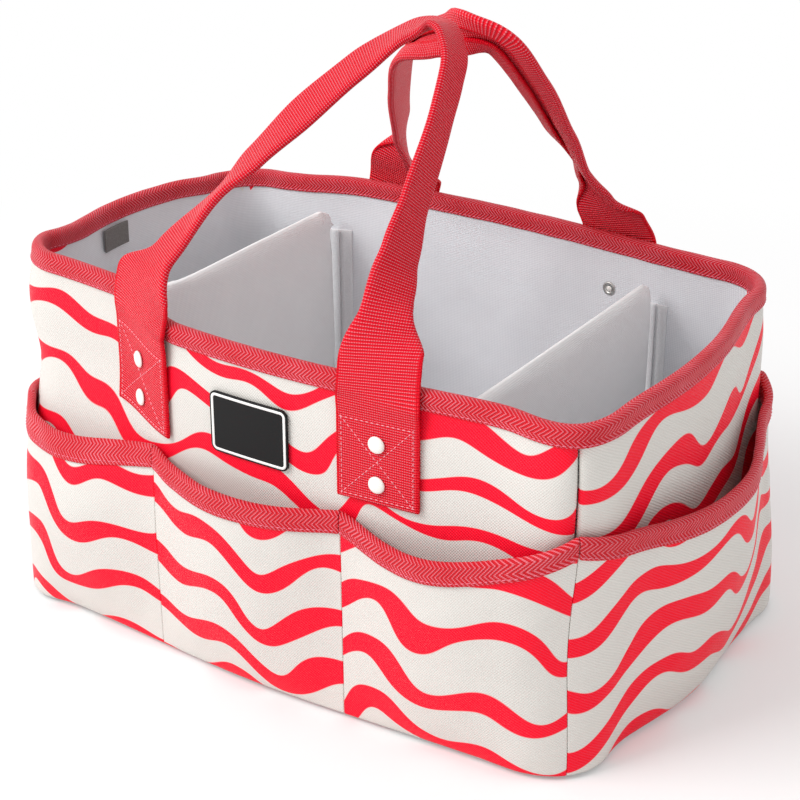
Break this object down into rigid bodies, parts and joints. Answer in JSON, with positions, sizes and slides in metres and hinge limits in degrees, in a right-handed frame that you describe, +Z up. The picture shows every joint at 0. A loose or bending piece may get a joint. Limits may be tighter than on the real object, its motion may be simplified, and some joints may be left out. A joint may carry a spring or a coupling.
{
  "type": "diaper caddy",
  "caption": "Soft rectangular storage caddy with outside pockets, swinging strap handles and lift-out dividers, in a wavy red and white print.",
  "frame": {"origin": "middle of the base's underside, which is the middle of the bottom of the overall box", "axes": "+Z up, +X along the long side to the viewer's right, -Y towards the front with the name patch"},
  "size_m": [0.447, 0.2932, 0.3609],
  "materials": {
    "printed_canvas": "warm white woven canvas printed with wavy red stripes",
    "red_tape": "red twill edge tape, matt, one stitch line",
    "red_webbing": "red cross-ribbed webbing with paler rib tops",
    "lining_cloth": "light grey plain-woven lining",
    "divider_cloth": "white padded cloth panel",
    "stiffener_board": "grey stiffener board, hidden under the lining",
    "rivet_enamel": "white enamelled dome",
    "rivet_steel": "plain steel washer",
    "patch_rubber": "matt black moulded patch with a thin white inset line",
    "hook_and_loop": "grey hook-and-loop strip, napped",
    "white_hook_and_loop": "white hook-and-loop strip, napped"
  },
  "bodies": {
    "caddy": {"base_panel": "printed_canvas", "base_board": "stiffener_board", "front_wall": "printed_canvas", "right_wall": "printed_canvas", "back_wall": "printed_canvas", "left_wall": "printed_canvas", "lining": "lining_cloth", "rim_binding": "red_tape", "front_left_pocket": "printed_canvas", "front_middle_pocket": "printed_canvas", "front_right_pocket": "printed_canvas", "back_left_pocket": "printed_canvas", "back_middle_pocket": "printed_canvas", "back_right_pocket": "printed_canvas", "left_end_pocket": "printed_canvas", "right_end_pocket": "printed_canvas", "front_left_pocket_binding": "red_tape", "front_middle_pocket_binding": "red_tape", "front_right_pocket_binding": "red_tape", "back_left_pocket_binding": "red_tape", "back_middle_pocket_binding": "red_tape", "back_right_pocket_binding": "red_tape", "left_end_pocket_binding": "red_tape", "right_end_pocket_binding": "red_tape", "front_handle_tab_left": "red_webbing", "front_handle_tab_right": "red_webbing", "back_handle_tab_left": "red_webbing", "back_handle_tab_right": "red_webbing", "front_left_lower_rivet": "rivet_enamel", "front_left_upper_rivet": "rivet_enamel", "front_right_lower_rivet": "rivet_enamel", "front_right_upper_rivet": "rivet_enamel", "back_left_lower_rivet": "rivet_enamel", "back_left_upper_rivet": "rivet_enamel", "back_right_lower_rivet": "rivet_enamel", "back_right_upper_rivet": "rivet_enamel", "front_left_lower_rivet_back": "rivet_steel", "front_left_upper_rivet_back": "rivet_steel", "front_right_lower_rivet_back": "rivet_steel", "front_right_upper_rivet_back": "rivet_steel", "back_left_lower_rivet_back": "rivet_steel", "back_left_upper_rivet_back": "rivet_steel", "back_right_lower_rivet_back": "rivet_steel", "back_right_upper_rivet_back": "rivet_steel", "name_patch": "patch_rubber", "left_loop_strip_front": "white_hook_and_loop", "left_loop_strip_back": "white_hook_and_loop", "right_loop_strip_front": "white_hook_and_loop", "right_loop_strip_back": "white_hook_and_loop", "left_end_loop_strip": "hook_and_loop"},
    "front_handle": {"front_handle": "red_webbing"},
    "back_handle": {"back_handle": "red_webbing"},
    "left_divider": {"left_divider": "divider_cloth", "left_divider_hook_strip_front": "white_hook_and_loop", "left_divider_hook_strip_back": "white_hook_and_loop"},
    "right_divider": {"right_divider": "divider_cloth", "right_divider_hook_strip_front": "white_hook_and_loop", "right_divider_hook_strip_back": "white_hook_and_loop"}
  },
  "joints": [
    {"name": "front_handle_swing", "type": "hinge", "parent": "caddy", "child": "front_handle", "pos_m": [0, -0.13149, 0.2045], "axis": [1, 0, 0], "range_deg": [0, 202]},
    {"name": "back_handle_swing", "type": "hinge", "parent": "caddy", "child": "back_handle", "pos_m": [0, 0.13149, 0.2045], "axis": [-1, 0, 0], "range_deg": [0, 202]},
    {"name": "left_divider_lift", "type": "slide", "parent": "caddy", "child": "left_divider", "axis": [0, 0, 1], "range_m": [0, 0.2]},
    {"name": "right_divider_lift", "type": "slide", "parent": "caddy", "child": "right_divider", "axis": [0, 0, 1], "range_m": [0, 0.2]}
  ]
}
